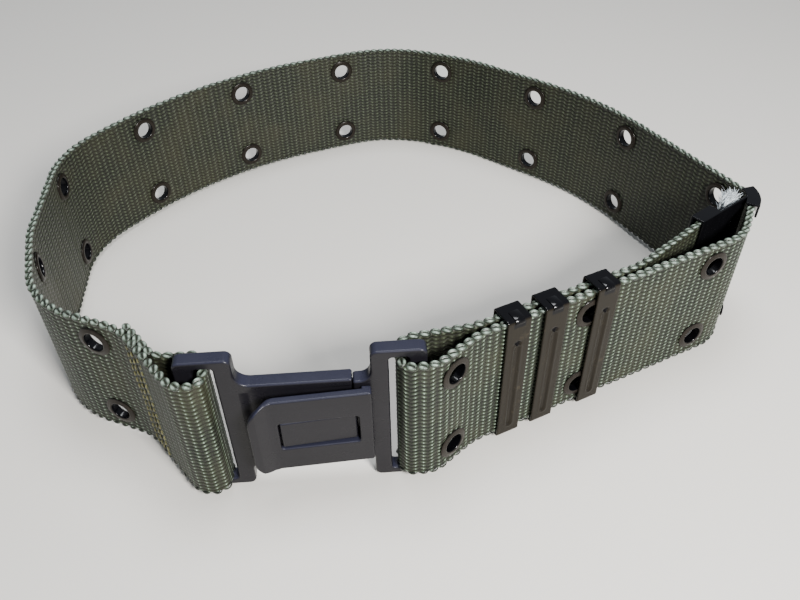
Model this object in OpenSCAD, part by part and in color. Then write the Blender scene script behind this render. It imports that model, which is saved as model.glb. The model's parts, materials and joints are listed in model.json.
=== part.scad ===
// Web equipment belt with a side-release plastic buckle, closed into a ring and standing on its edge.
// One strap runs from the end clip, under three keepers, round the right buckle bar, round the ring,
// and ends sewn to itself round the left buckle bar. +Y points into the ring, +Z is up, units are mm.

/* [Webbing] */
// Width of the webbing, which is its height as it stands
web_w = 57.15; // [50:0.05:58]
// Thickness of the webbing
web_t = 2.2; // [1.8:0.1:2.4]
// Distance between the centres of the two strap layers inside the keepers
layer_gap = 4.2; // [4.2:0.1:4.6]

/* [Eyelets] */
// Distance between eyelet pairs along the strap
eyelet_pitch = 58.4; // [58:0.1:58.8]
// Distance between the upper and lower row of eyelets
eyelet_rows = 37; // [30:1:40]
// Radius of the hole in an eyelet
eyelet_bore_r = 3.9; // [3:0.1:4.2]
// Radius of an eyelet's outer flange
eyelet_flange_r = 6.4; // [6.3:0.1:7.5]

/* [Buckle] */
// Half of the buckle's width, from its centre to the end of an arm
buckle_half_w = 41; // [40.5:0.1:41.5]
// Thickness of the arms above and below the webbing
arm_t = 3.2; // [2.5:0.1:4]
// Depth of the buckle frames from front to back
buckle_depth = 5.5; // [5:0.1:6]
// Height of the latch plate
latch_h = 35; // [30:1:36]

/* [Keepers] */
// Width of a keeper along the strap
keeper_w = 9.5; // [8:0.1:9.5]
// Thickness of the sheet metal in the keepers and the end clip
sheet_t = 0.9; // [0.7:0.1:1]

/* [Ring] */
// Sideways place of the buckle's centre, with the ring's centre at zero
buckle_x = -35.65; // [-60:0.05:-20]
// Front-to-back place of the buckle's front face, with the ring's centre at zero
buckle_y = -116.4; // [-140:0.1:-100]

/* [Hidden] */
$fn = 48;

web_colour = [0.36, 0.40, 0.27];
plastic_colour = [0.24, 0.25, 0.30];
black_colour = [0.07, 0.06, 0.06];
bronze_colour = [0.20, 0.15, 0.11];
thread_colour = [0.45, 0.43, 0.25];

// Heights: the buckle stands on z = 0, and the webbing sits in its slot
slot_clear_low = 0.3;
slot_clear_high = 0.7;
web_z = arm_t + slot_clear_low;
web_top = web_z + web_w;
buckle_h = web_top + slot_clear_high + arm_t;
buckle_mid = buckle_h / 2;
eyelet_z_low = web_z + (web_w - eyelet_rows) / 2;
eyelet_z_high = eyelet_z_low + eyelet_rows;

// The straight stretch that the keepers slide on: its start, its direction and the side the tail lies on
keeper_line_start = [59.5, 10.4];
keeper_line_end = [169.6, 55.6];
keeper_heading = atan2(keeper_line_end[1] - keeper_line_start[1], keeper_line_end[0] - keeper_line_start[0]);
function on_keeper_line(along, inward) =
    keeper_line_start + along * [cos(keeper_heading), sin(keeper_heading)]
    + inward * [-sin(keeper_heading), cos(keeper_heading)];
tail_bend_near = on_keeper_line(2, layer_gap);
tail_bend_far = on_keeper_line(72, layer_gap);
tail_end = [163, 71];

// Corners of the strap's centre line, each [x, y, rounding radius], measured from the buckle's front centre
strap_corners = [
    [tail_end[0], tail_end[1], 0],
    [tail_bend_far[0], tail_bend_far[1], 60],
    [tail_bend_near[0], tail_bend_near[1], 30],
    [31.8, 10.8, 5],
    [31.8, -2.7, 4.6],
    [43.5, -2.9, 12],
    [keeper_line_start[0], keeper_line_start[1], 25],
    [keeper_line_end[0], keeper_line_end[1], 20],
    [184.1, 81.7, 14],
    [143.3, 171.7, 150],
    [84.2, 225.4, 110],
    [42.7, 245.7, 60],
    [-58.9, 214.1, 200],
    [-113.5, 145, 50],
    [-109.5, 83, 60],
    [-97.5, 39.9, 40],
    [-62.5, 23.5, 26],
    [-41, -5.2, 8],
    [-31.6, -5.2, 4.2],
    [-31.6, 9.3, 4.2],
    [-48.7, 9.3, 9],
    [-61.3, 25.9, 0]
];

// The strap's centre line as a list of [x, y, heading]
arc_step = 5;
function heading(i) = atan2(
    strap_corners[i + 1][1] - strap_corners[i][1],
    strap_corners[i + 1][0] - strap_corners[i][0]);
function wrapped(angle) = angle > 180 ? angle - 360 : (angle < -180 ? angle + 360 : angle);
function turn(i) = wrapped(heading(i) - heading(i - 1));
function arc_start(i) =
    [strap_corners[i][0], strap_corners[i][1]]
    - strap_corners[i][2] * tan(abs(turn(i)) / 2) * [cos(heading(i - 1)), sin(heading(i - 1))];
function arc_centre(i) =
    arc_start(i) + sign(turn(i)) * strap_corners[i][2] * [-sin(heading(i - 1)), cos(heading(i - 1))];
function arc_frames(i) =
    let (steps = ceil(abs(turn(i)) / arc_step), reach = sign(turn(i)) * strap_corners[i][2])
    [for (k = [0:steps])
        let (h = heading(i - 1) + turn(i) * k / steps)
        [arc_centre(i)[0] + reach * sin(h), arc_centre(i)[1] - reach * cos(h), h]];
last_corner = len(strap_corners) - 1;
sewn_leg_corner = last_corner - 5;
strap_frames = concat(
    [[strap_corners[0][0], strap_corners[0][1], heading(0)]],
    [for (i = [1:last_corner - 1]) each arc_frames(i)],
    [[strap_corners[last_corner][0], strap_corners[last_corner][1], heading(last_corner - 1)]]);

// Distance along the strap of each frame, from the tail end
function step_length(i) = norm([
    strap_frames[i][0] - strap_frames[i - 1][0],
    strap_frames[i][1] - strap_frames[i - 1][1]]);
strap_distances = [for (i = 0, d = 0; i < len(strap_frames);
    i = i + 1, d = d + (i < len(strap_frames) ? step_length(i) : 0)) d];
strap_length = strap_distances[len(strap_distances) - 1];
function frame_before(d) = len([for (s = strap_distances) if (s <= d) s]) - 1;
function frame_at(d) =
    let (
        i = min(frame_before(d), len(strap_frames) - 2),
        a = strap_frames[i],
        b = strap_frames[i + 1],
        t = (d - strap_distances[i]) / (strap_distances[i + 1] - strap_distances[i]))
    [a[0] + t * (b[0] - a[0]), a[1] + t * (b[1] - a[1]), a[2] + t * wrapped(b[2] - a[2])];
function stretch(from, to) = concat(
    [frame_at(from)],
    [for (i = [0:len(strap_frames) - 1])
        if (strap_distances[i] > from + 0.01 && strap_distances[i] < to - 0.01) strap_frames[i]],
    [frame_at(to)]);
function beside(f, out) = [f[0] + out * sin(f[2]), f[1] - out * cos(f[2])];
function backwards(list) = [for (i = [len(list) - 1:-1:0]) list[i]];

// Places along the strap
first_pair = 176.6;
pair_count = 13;
tail_pairs = [first_pair - 2 * eyelet_pitch, first_pair - eyelet_pitch];
left_end_pair_count = 2;
ring_pairs = [for (k = [0:pair_count - 1 - left_end_pair_count]) first_pair + k * eyelet_pitch];
left_end_pairs = [for (k = [pair_count - left_end_pair_count:pair_count - 1]) first_pair + k * eyelet_pitch];
split_after_pair = 8.5;
split_at = ring_pairs[len(ring_pairs) - 1] + split_after_pair;
split_gap = 0.05;
stitch_rows = [-53.5, -56, -58.5];

// Eyelet stack
barrel_r = eyelet_bore_r + 0.7;
barrel_fit = 0.05;
flange_t = 0.6;
washer_t = 0.5;
curl_t = 0.3;
curl_r = barrel_r + 1;
washer_r = eyelet_flange_r - 0.2;

// Buckle plan: x from the buckle's centre, y from its front face
bar_inner_x = 22.2;
bar_outer_x = 28.3;
web_bar_w = 6;
rail_drop = 12;
rail_t = 3.2;
housing_end_x = 16;
plate_front_y = 1.2;
plate_t = 2;
tongue_end_x = -16;
tongue_y = 3.4;
window_left_x = -9.8;
window_right_x = 17.5;
window_h = 13.2;
window_r = 1.1;
latch_t = 3;
latch_front_y = -4;

// Keepers, as distances along the keeper line
keeper_places = [14.3, 29.8, 52];
keeper_clear = 0.15;
keeper_edge_clear = 0.35;
keeper_front = web_t / 2 + flange_t + keeper_clear;
keeper_back = layer_gap + web_t / 2 + flange_t + keeper_clear;
keeper_low = web_z - keeper_edge_clear - sheet_t;
keeper_high = web_top + keeper_edge_clear + sheet_t;

// Puts a child that is drawn from the buckle's front centre into the ring's own frame
module in_ring() {
    translate([buckle_x, buckle_y, 0]) children();
}

// A stretch of webbing between two distances along the strap, with holes for the pairs of eyelets
module webbing(from, to, pairs) {
    line = stretch(from, to);
    difference() {
        translate([0, 0, web_z])
            linear_extrude(web_w)
                beside_strap(line, web_t / 2, -web_t / 2);
        at_pairs(pairs, [eyelet_z_low, eyelet_z_high])
            cylinder(h = 4 * web_t, r = barrel_r + barrel_fit, center = true);
    }
}

// Children are drawn with +Z out of the strap's outer face, once for each pair and height
module at_pairs(pairs, heights) {
    for (d = pairs, z = heights) {
        f = frame_at(d);
        translate([f[0], f[1], z])
            rotate([90, 0, f[2]])
                children();
    }
}

// Eyelet barrel with its outer flange and the curl that holds the washer
module eyelet() {
    outer_face = web_t / 2;
    inner_face = -web_t / 2 - washer_t;
    rotate_extrude()
        polygon([
            [eyelet_bore_r, inner_face - curl_t],
            [curl_r - 0.3, inner_face - curl_t],
            [curl_r, inner_face],
            [barrel_r, inner_face],
            [barrel_r, outer_face],
            [eyelet_flange_r, outer_face],
            [eyelet_flange_r - 0.4, outer_face + flange_t * 0.7],
            [eyelet_flange_r - 1.5, outer_face + flange_t],
            [eyelet_bore_r + 0.5, outer_face + flange_t],
            [eyelet_bore_r, outer_face + flange_t - 0.4]]);
}

// Washer on the inner face of the strap
module eyelet_washer() {
    translate([0, 0, -web_t / 2 - washer_t])
        difference() {
            cylinder(h = washer_t, r = washer_r);
            translate([0, 0, -1])
                cylinder(h = washer_t + 2, r = barrel_r + barrel_fit);
        }
}

module belt_webbing() {
    color(web_colour) in_ring() webbing(0, split_at, concat(tail_pairs, ring_pairs));
}

module buckle_end_webbing() {
    color(web_colour) in_ring() webbing(split_at + split_gap, strap_length, left_end_pairs);
}

// Rows of lockstitch on both faces where the strap's end is sewn to itself
module sewn_end_stitching() {
    row_w = 0.8;
    row_t = 0.3;
    row_margin = 2;
    face_clear = 0.02;
    outer_leg = strap_corners[sewn_leg_corner];
    sew_heading = heading(sewn_leg_corner);
    sew_gap = 2.4;
    color(thread_colour) in_ring()
        for (x = stitch_rows) {
            along = (x - outer_leg[0]) / cos(sew_heading);
            for (out = [web_t / 2 + face_clear, -sew_gap - web_t / 2 - row_t - face_clear])
                translate([
                    x + out * sin(sew_heading),
                    outer_leg[1] + along * sin(sew_heading) - out * cos(sew_heading),
                    web_z + row_margin])
                    rotate([0, 0, sew_heading])
                        translate([-row_w / 2, -row_t, 0])
                            cube([row_w, row_t, web_w - 2 * row_margin]);
        }
}

// A rectangle with rounded corners, from its low corner
module rounded_rectangle(low, size, r) {
    for (x = [low[0] + r, low[0] + size[0] - r], y = [low[1] + r, low[1] + size[1] - r])
        translate([x, y]) circle(r);
    translate([low[0] + r, low[1]]) square([size[0] - 2 * r, size[1]]);
    translate([low[0], low[1] + r]) square([size[0], size[1] - 2 * r]);
}

// The square corner left outside a quarter circle, which fills an inside corner at the origin
module corner_fill(r) {
    difference() {
        square(r);
        translate([r, r]) circle(r);
    }
}

// Draws a front view, x across and y up, as a slab between two depths
module slab(front, back) {
    translate([0, back, 0])
        rotate([90, 0, 0])
            linear_extrude(back - front)
                children();
}

// The slotted frame that carries the webbing bar, on the right of the buckle's centre
module strap_frame() {
    frame_r = 2.4;
    slot_r = 1.4;
    slab(0, buckle_depth)
        difference() {
            rounded_rectangle(
                [bar_inner_x, 0], [buckle_half_w - bar_inner_x, buckle_h], frame_r);
            rounded_rectangle(
                [bar_outer_x, arm_t],
                [buckle_half_w - web_bar_w - bar_outer_x, buckle_h - 2 * arm_t], slot_r);
        }
}

// Fillets where a shoulder of the given drop meets the inner side of the frame, top and bottom
module shoulder_fillets(drop, r) {
    translate([bar_inner_x, buckle_h - drop])
        mirror([1, 0]) corner_fill(r);
    translate([bar_inner_x, drop])
        mirror([1, 0]) mirror([0, 1]) corner_fill(r);
}

// Left half: strap frame, a channel with two rails, and the wedge that the latch window catches
module left_buckle_half() {
    wedge_clear = 0.4;
    wedge_h = window_h - 2 * wedge_clear;
    wedge_left_x = window_left_x + wedge_clear;
    wedge_right_x = window_right_x - 2 * wedge_clear;
    wedge_left_y = latch_front_y - 1.3;
    wedge_right_y = latch_front_y + 1;
    wedge_end_y = -0.3;
    plate_middle_y = plate_front_y + plate_t / 2;
    plate_ramp_w = 4;
    shoulder_r = 5;
    channel_h = buckle_h - 2 * rail_drop;
    color(plastic_colour) in_ring() {
        mirror([1, 0, 0]) {
            strap_frame();
            slab(0, buckle_depth) shoulder_fillets(rail_drop, shoulder_r);
        }
        for (z = [rail_drop, buckle_h - rail_drop - rail_t])
            slab(0, buckle_depth)
                translate([-bar_inner_x - 1, z])
                    square([housing_end_x + bar_inner_x + 1, rail_t]);
        slab(plate_front_y, plate_front_y + plate_t)
            translate([-bar_inner_x - 1, rail_drop])
                square([housing_end_x + bar_inner_x + 1, channel_h]);
        translate([0, 0, rail_drop])
            linear_extrude(channel_h)
                polygon([
                    [-bar_inner_x - 1, plate_middle_y],
                    [-bar_inner_x - 1, 0],
                    [-bar_inner_x, 0],
                    [-bar_inner_x + plate_ramp_w, plate_front_y],
                    [-bar_inner_x + plate_ramp_w, plate_middle_y]]);
        translate([0, 0, buckle_mid - wedge_h / 2])
            linear_extrude(wedge_h)
                polygon([
                    [wedge_left_x, plate_middle_y],
                    [wedge_left_x, wedge_left_y],
                    [wedge_right_x, wedge_right_y],
                    [wedge_right_x, wedge_end_y],
                    [housing_end_x, wedge_end_y],
                    [housing_end_x, plate_middle_y]]);
    }
}

// Right half: strap frame, the shoulder that carries the latch, and the tongue that enters the channel
module right_buckle_half() {
    shoulder_gap = 0.2;
    shoulder_x = housing_end_x + shoulder_gap;
    shoulder_drop = rail_drop + 1.2;
    shoulder_r = 4;
    tongue_clear = 0.8;
    tongue_low = rail_drop + rail_t + tongue_clear;
    color(plastic_colour) in_ring() {
        strap_frame();
        slab(0, buckle_depth) {
            translate([shoulder_x, shoulder_drop])
                square([bar_inner_x + 1 - shoulder_x, buckle_h - 2 * shoulder_drop]);
            shoulder_fillets(shoulder_drop, shoulder_r);
        }
        slab(tongue_y, buckle_depth)
            translate([tongue_end_x, tongue_low])
                square([shoulder_x + 1 - tongue_end_x, buckle_h - 2 * tongue_low]);
    }
}

// Springy front plate with a window for the wedge and a flared thumb edge on its left
module latch_plate() {
    root_w = 3.5;
    root_clear = 0.05;
    slope = 1.8;
    flare_start_x = -11;
    flare_end_x = -16.5;
    flare_tip_x = -19.2;
    flare_out = 3.8;
    thumb_r = 8;
    hinge_r = 1;
    low_z = buckle_mid - latch_h / 2;
    front_at_flare = latch_front_y - slope;
    color(plastic_colour) in_ring()
        intersection() {
            translate([0, 0, low_z])
                linear_extrude(latch_h)
                    polygon([
                        [bar_inner_x, latch_front_y],
                        [flare_start_x, front_at_flare],
                        [flare_start_x - 2, front_at_flare - 0.7],
                        [flare_end_x, front_at_flare - flare_out + 0.4],
                        [flare_tip_x, front_at_flare - flare_out],
                        [flare_tip_x, front_at_flare - flare_out + latch_t],
                        [flare_end_x + 0.6, front_at_flare - flare_out + latch_t + 0.2],
                        [flare_start_x - 1.4, front_at_flare + latch_t - 0.6],
                        [flare_start_x + 0.6, front_at_flare + latch_t],
                        [bar_inner_x - root_w, latch_front_y + latch_t - 0.1],
                        [bar_inner_x - root_w, -root_clear],
                        [bar_inner_x, -root_clear]]);
            slab(-20, 1)
                difference() {
                    union() {
                        rounded_rectangle([flare_tip_x, low_z], [bar_inner_x - flare_tip_x, latch_h], thumb_r);
                        rounded_rectangle([0, low_z], [bar_inner_x, latch_h], hinge_r);
                    }
                    rounded_rectangle(
                        [window_left_x, buckle_mid - window_h / 2],
                        [window_right_x - window_left_x, window_h], window_r);
                }
        }
}

// Sheet band round both strap layers, drawn at rest on the keeper line
module keeper(place) {
    groove_w = 1.8;
    groove_margin = 8;
    groove_depth = 0.35;
    tab_w = 3;
    tab_reach = 4.2;
    notch_clear = 0.4;
    band_depth = keeper_front + keeper_back + 2 * sheet_t;
    band_h = keeper_high - keeper_low;
    centre = on_keeper_line(place, 0);
    color(bronze_colour) in_ring()
        translate([centre[0], centre[1], 0])
            rotate([0, 0, keeper_heading])
                translate([-keeper_w / 2, -keeper_front - sheet_t, keeper_low]) {
                    difference() {
                        cube([keeper_w, band_depth, band_h]);
                        translate([-1, sheet_t, sheet_t])
                            cube([keeper_w + 2, band_depth - 2 * sheet_t, band_h - 2 * sheet_t]);
                        translate([(keeper_w - groove_w) / 2, -1, groove_margin])
                            cube([groove_w, 1 + groove_depth, band_h - 2.2 * groove_margin]);
                        translate([(keeper_w - groove_w) / 2, -1, band_h - groove_margin + 2])
                            cube([groove_w, 2 + sheet_t, 2]);
                        translate([(keeper_w - tab_w) / 2 - notch_clear, -1, band_h - 2 * sheet_t])
                            cube([tab_w + 2 * notch_clear, 1 + sheet_t + 2, 3 * sheet_t]);
                    }
                    translate([(keeper_w - tab_w) / 2, sheet_t / 2, band_h])
                        cube([tab_w, tab_reach, sheet_t * 0.7]);
                }
}

module keeper_1() { keeper(keeper_places[0]); }
module keeper_2() { keeper(keeper_places[1]); }
module keeper_3() { keeper(keeper_places[2]); }

// The plan of a band along part of the strap, between two distances outward from its centre line
module beside_strap(line, outer, inner) {
    polygon(concat(
        [for (f = line) beside(f, outer)],
        [for (f = backwards(line)) beside(f, inner)]));
}

// Crimped metal clip on the tail end, with hooks over the strap's edges at the ring's corner
module end_clip() {
    clip_heading = 33;
    clip_start = [155.5, 62.6];
    clip_len = 29;
    crimp_len = 12;
    crimp_depth = 5.9;
    hook_line = stretch(327, 340);
    hook_play = 1.05;
    hook_out = web_t / 2 + hook_play;
    hook_in = 2.4;
    lip_heights = [2, 6];
    dimple_r = 1.1;
    low = keeper_low;
    tall = keeper_high - keeper_low;
    color(black_colour) in_ring() {
        translate([clip_start[0], clip_start[1], low])
            rotate([0, 0, clip_heading]) {
                cube([clip_len, sheet_t, tall]);
                for (z = [0, tall - sheet_t])
                    translate([0, 0, z])
                        cube([crimp_len, crimp_depth, sheet_t]);
                translate([0, crimp_depth - sheet_t, 0])
                    cube([crimp_len, sheet_t, tall]);
                for (z = [tall * 0.72, tall * 0.84])
                    translate([clip_len * 0.72, 0.2, z])
                        rotate([90, 0, 0])
                            cylinder(h = 0.6, r = dimple_r);
            }
        for (top = [0, 1]) {
            edge_z = top == 1 ? keeper_high - sheet_t : low;
            lip_z = top == 1 ? keeper_high - lip_heights[top] : low;
            translate([0, 0, edge_z])
                linear_extrude(sheet_t)
                    beside_strap(hook_line, hook_out + sheet_t, -hook_in);
            translate([0, 0, lip_z])
                linear_extrude(lip_heights[top])
                    beside_strap(hook_line, hook_out + sheet_t, hook_out);
        }
    }
}

module upper_eyelets() { color(bronze_colour) in_ring() at_pairs(ring_pairs, [eyelet_z_high]) eyelet(); }
module lower_eyelets() { color(bronze_colour) in_ring() at_pairs(ring_pairs, [eyelet_z_low]) eyelet(); }
module upper_eyelet_washers() {
    color(bronze_colour) in_ring() at_pairs(ring_pairs, [eyelet_z_high]) eyelet_washer();
}
module lower_eyelet_washers() {
    color(bronze_colour) in_ring() at_pairs(ring_pairs, [eyelet_z_low]) eyelet_washer();
}
module tail_eyelets() {
    color(bronze_colour) in_ring() at_pairs(tail_pairs, [eyelet_z_low, eyelet_z_high]) eyelet();
}
module tail_eyelet_washers() {
    color(bronze_colour) in_ring() at_pairs(tail_pairs, [eyelet_z_low, eyelet_z_high]) eyelet_washer();
}
module left_end_eyelets() {
    color(bronze_colour) in_ring() at_pairs(left_end_pairs, [eyelet_z_low, eyelet_z_high]) eyelet();
}
module left_end_eyelet_washers() {
    color(bronze_colour) in_ring() at_pairs(left_end_pairs, [eyelet_z_low, eyelet_z_high]) eyelet_washer();
}

belt_webbing();
buckle_end_webbing();
sewn_end_stitching();
left_buckle_half();
right_buckle_half();
latch_plate();
end_clip();
keeper_1();
keeper_2();
keeper_3();
upper_eyelets();
lower_eyelets();
upper_eyelet_washers();
lower_eyelet_washers();
tail_eyelets();
tail_eyelet_washers();
left_end_eyelets();
left_end_eyelet_washers();
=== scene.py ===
"""Looks for a web equipment belt: woven webbing, moulded buckle, sheet-metal keepers and clip, eyelets.

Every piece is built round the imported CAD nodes. Lengths in this file are millimetres in the CAD frame,
and they become metres when a mesh is made.
"""

import json
import math

import bmesh
import bpy
import numpy as np
from mathutils import Matrix, Vector


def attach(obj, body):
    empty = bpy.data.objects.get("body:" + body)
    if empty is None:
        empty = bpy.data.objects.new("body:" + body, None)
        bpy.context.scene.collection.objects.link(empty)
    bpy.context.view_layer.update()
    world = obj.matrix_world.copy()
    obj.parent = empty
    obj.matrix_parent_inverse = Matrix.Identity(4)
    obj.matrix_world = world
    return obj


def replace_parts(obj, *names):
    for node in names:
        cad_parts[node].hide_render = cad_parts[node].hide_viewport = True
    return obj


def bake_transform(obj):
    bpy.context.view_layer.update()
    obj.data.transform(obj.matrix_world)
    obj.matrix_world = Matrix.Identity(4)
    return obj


MM = 0.001
MERGE_GAP = 1e-6

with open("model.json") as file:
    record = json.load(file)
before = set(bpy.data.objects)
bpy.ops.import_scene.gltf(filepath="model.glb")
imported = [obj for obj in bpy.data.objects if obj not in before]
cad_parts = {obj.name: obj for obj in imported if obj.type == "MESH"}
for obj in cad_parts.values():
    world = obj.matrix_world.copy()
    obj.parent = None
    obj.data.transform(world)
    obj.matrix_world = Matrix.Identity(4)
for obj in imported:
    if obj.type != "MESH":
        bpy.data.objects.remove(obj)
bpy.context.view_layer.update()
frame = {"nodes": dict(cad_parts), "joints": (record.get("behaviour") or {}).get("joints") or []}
nodes = frame["nodes"]
random = np.random.default_rng(11)


# ---------------------------------------------------------------- reading the frame


def node_points(node):
    return np.array([v.co for v in nodes[node].data.vertices]) / MM


def node_box(node):
    points = node_points(node)
    return points.min(0), points.max(0)


def joint_axis(name):
    joint = next(j for j in frame["joints"] if j["name"] == name)
    return np.array(joint["axis"], float)


def solids_of(node):
    """The points of each separate solid in a CAD node, with the solids in order of their middles."""
    mesh = bmesh.new()
    mesh.from_mesh(nodes[node].data)
    bmesh.ops.remove_doubles(mesh, verts=mesh.verts, dist=MERGE_GAP)
    seen = set()
    solids = []
    for first in mesh.verts:
        if first in seen:
            continue
        seen.add(first)
        found, edge = [], [first]
        while edge:
            vert = edge.pop()
            found.append(np.array(vert.co) / MM)
            for link in vert.link_edges:
                other = link.other_vert(vert)
                if other not in seen:
                    seen.add(other)
                    edge.append(other)
        solids.append(np.array(found))
    mesh.free()
    return sorted(solids, key=lambda solid: tuple(np.round((solid.min(0) + solid.max(0)) / 2, 2)))


def lower_outline(node):
    """The closed outline of a webbing node's lower edge, in order, as points in plan."""
    points = np.round(node_points(node), 3)
    low = points[:, 2].min()
    edges = set()
    for face in nodes[node].data.polygons:
        corners = [tuple(points[i]) for i in face.vertices]
        if max(corner[2] for corner in corners) > low + 0.01:
            continue
        for a, b in zip(corners, corners[1:] + corners[:1]):
            if (b, a) in edges:
                edges.remove((b, a))
            else:
                edges.add((a, b))
    following = dict(edges)
    outline = [min(following)]
    while len(outline) < len(following):
        outline.append(following[outline[-1]])
    return np.array(outline)[:, :2]


SQUARE_COSINE = 0.02


def square_ends(outline):
    """Places in an outline of its two square ends, each the first of an end's two corners."""
    step = np.roll(outline, -1, 0) - outline
    length = np.linalg.norm(step, axis=1)
    heading = step / length[:, None]
    cosine = np.abs(np.sum(heading * np.roll(heading, 1, 0), axis=1))
    is_square = cosine < SQUARE_COSINE
    return [i for i in range(len(outline)) if is_square[i] and is_square[(i + 1) % len(outline)]]


def centre_line(node, near):
    """A webbing node's centre line in plan, starting at the end that is closer to a point."""
    outline = lower_outline(node)
    first, second = square_ends(outline)
    side_a = outline[first + 1:second + 1]
    side_b = np.concatenate([outline[second + 1:], outline[:first + 1]])[::-1]
    line = (side_a + side_b) / 2
    thickness = np.linalg.norm(side_a - side_b, axis=1).mean()
    if np.linalg.norm(line[0] - near) > np.linalg.norm(line[-1] - near):
        line = line[::-1]
    return line, thickness


class Path:
    """A smooth curve in plan through points, read by the distance along it."""

    def __init__(self, points, spacing=0.2):
        tangents = np.empty_like(points)
        tangents[1:-1] = points[2:] - points[:-2]
        tangents[0] = points[1] - points[0]
        tangents[-1] = points[-1] - points[-2]
        tangents /= np.linalg.norm(tangents, axis=1)[:, None]
        dense = []
        for a, b, leave, arrive in zip(points[:-1], points[1:], tangents[:-1], tangents[1:]):
            length = np.linalg.norm(b - a)
            t = np.arange(0, 1, spacing / max(length, spacing))[:, None]
            dense.append((2 * t**3 - 3 * t**2 + 1) * a + (3 * t**2 - 2 * t**3) * b
                         + (t**3 - 2 * t**2 + t) * length * leave + (t**3 - t**2) * length * arrive)
        self.points = np.concatenate(dense + [points[-1:]])
        steps = np.linalg.norm(np.diff(self.points, axis=0), axis=1)
        self.distance = np.concatenate([[0], np.cumsum(steps)])
        self.length = self.distance[-1]
        self.tangents = np.gradient(self.points, self.distance, axis=0)

    def at(self, distance):
        """Points and unit tangents at distances."""
        point = np.stack([np.interp(distance, self.distance, self.points[:, k]) for k in (0, 1)], -1)
        tangent = np.stack([np.interp(distance, self.distance, self.tangents[:, k]) for k in (0, 1)], -1)
        return point, tangent / np.linalg.norm(tangent, axis=-1, keepdims=True)

    def nearest(self, point):
        """The distance along the path of the place nearest to a point."""
        gap = np.linalg.norm(self.points - np.asarray(point)[:2], axis=1)
        return self.distance[np.argmin(gap)]


def outward(tangent):
    """The strap's outer side, which is to the right of its direction."""
    return np.stack([tangent[..., 1], -tangent[..., 0]], -1)


clip_low, clip_high = node_box("end_clip")
tail_line, web_thickness = centre_line("belt_webbing", ((clip_low + clip_high) / 2)[:2])
left_line, _ = centre_line("buckle_end_webbing", tail_line[-1])
strap = Path(np.concatenate([tail_line, left_line]))
split_distance = strap.nearest((tail_line[-1] + left_line[0]) / 2)
web_low = node_box("belt_webbing")[0][2]
web_high = node_box("belt_webbing")[1][2]
web_width = web_high - web_low
half_thickness = web_thickness / 2


def eyelet_places(node):
    """Each eyelet of a node as (distance along the strap, height)."""
    centres = [(solid.min(0) + solid.max(0)) / 2 for solid in solids_of(node)]
    return sorted((strap.nearest(centre), centre[2]) for centre in centres)


def turned_radii(node):
    """The smallest and largest radius of a node's first turned solid, whose axis lies flat.

    The solid is wider than it is deep, so its widest direction in plan is square to its axis.
    """
    solid = solids_of(node)[0]
    plan = solid[:, :2] - solid[:, :2].mean(0)
    widest = np.linalg.eigh(plan.T @ plan)[1][:, 1]
    sideways = plan @ widest
    sideways -= (sideways.min() + sideways.max()) / 2
    height = solid[:, 2] - (solid[:, 2].min() + solid[:, 2].max()) / 2
    r = np.hypot(sideways, height)
    return r.min(), r.max()


EYELET_NODES = ("upper_eyelets", "lower_eyelets", "tail_eyelets", "left_end_eyelets")
places = {node: eyelet_places(node) for node in EYELET_NODES}
all_eyelets = sorted(place for node in EYELET_NODES for place in places[node])
bore_r, flange_r = turned_radii("upper_eyelets")
barrel_r, washer_r = turned_radii("upper_eyelet_washers")


# ---------------------------------------------------------------- mesh helpers


def add_mesh(name, points, faces, materials, face_material=None, smooth=True):
    """A new object from points in millimetres."""
    mesh = bpy.data.meshes.new(name)
    mesh.from_pydata((np.asarray(points) * MM).tolist(), [], [tuple(map(int, f)) for f in faces])
    for material in materials:
        mesh.materials.append(material)
    if face_material is not None:
        mesh.polygons.foreach_set("material_index", np.asarray(face_material, np.int32))
    mesh.polygons.foreach_set("use_smooth", [smooth] * len(mesh.polygons))
    mesh.update()
    piece = bpy.data.objects.new(name, mesh)
    bpy.context.scene.collection.objects.link(piece)
    return piece


def add_value(piece, name, values):
    """Gives each vertex a number that its material can read."""
    attribute = piece.data.attributes.new(name, "FLOAT", "POINT")
    attribute.data.foreach_set("value", np.asarray(values, np.float32))


def face_outward(piece):
    """Turns every face of closed solids outward."""
    mesh = bmesh.new()
    mesh.from_mesh(piece.data)
    bmesh.ops.recalc_face_normals(mesh, faces=mesh.faces)
    mesh.to_mesh(piece.data)
    mesh.free()


def sharpen(piece, degrees):
    piece.data.set_sharp_from_angle(angle=math.radians(degrees))


def grid_faces(rows, columns, wrap_rows=False, wrap_columns=False):
    """Quads of a grid whose points run along the columns first."""
    i = np.arange(rows if wrap_rows else rows - 1)
    j = np.arange(columns if wrap_columns else columns - 1)
    i, j = (a.ravel() for a in np.meshgrid(i, j, indexing="ij"))
    i2, j2 = (i + 1) % rows, (j + 1) % columns
    return np.stack([i * columns + j, i2 * columns + j, i2 * columns + j2, i * columns + j2], -1)


def smoothstep(x):
    t = np.clip(x, 0, 1)
    return t * t * (3 - 2 * t)


# ---------------------------------------------------------------- materials


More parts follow.
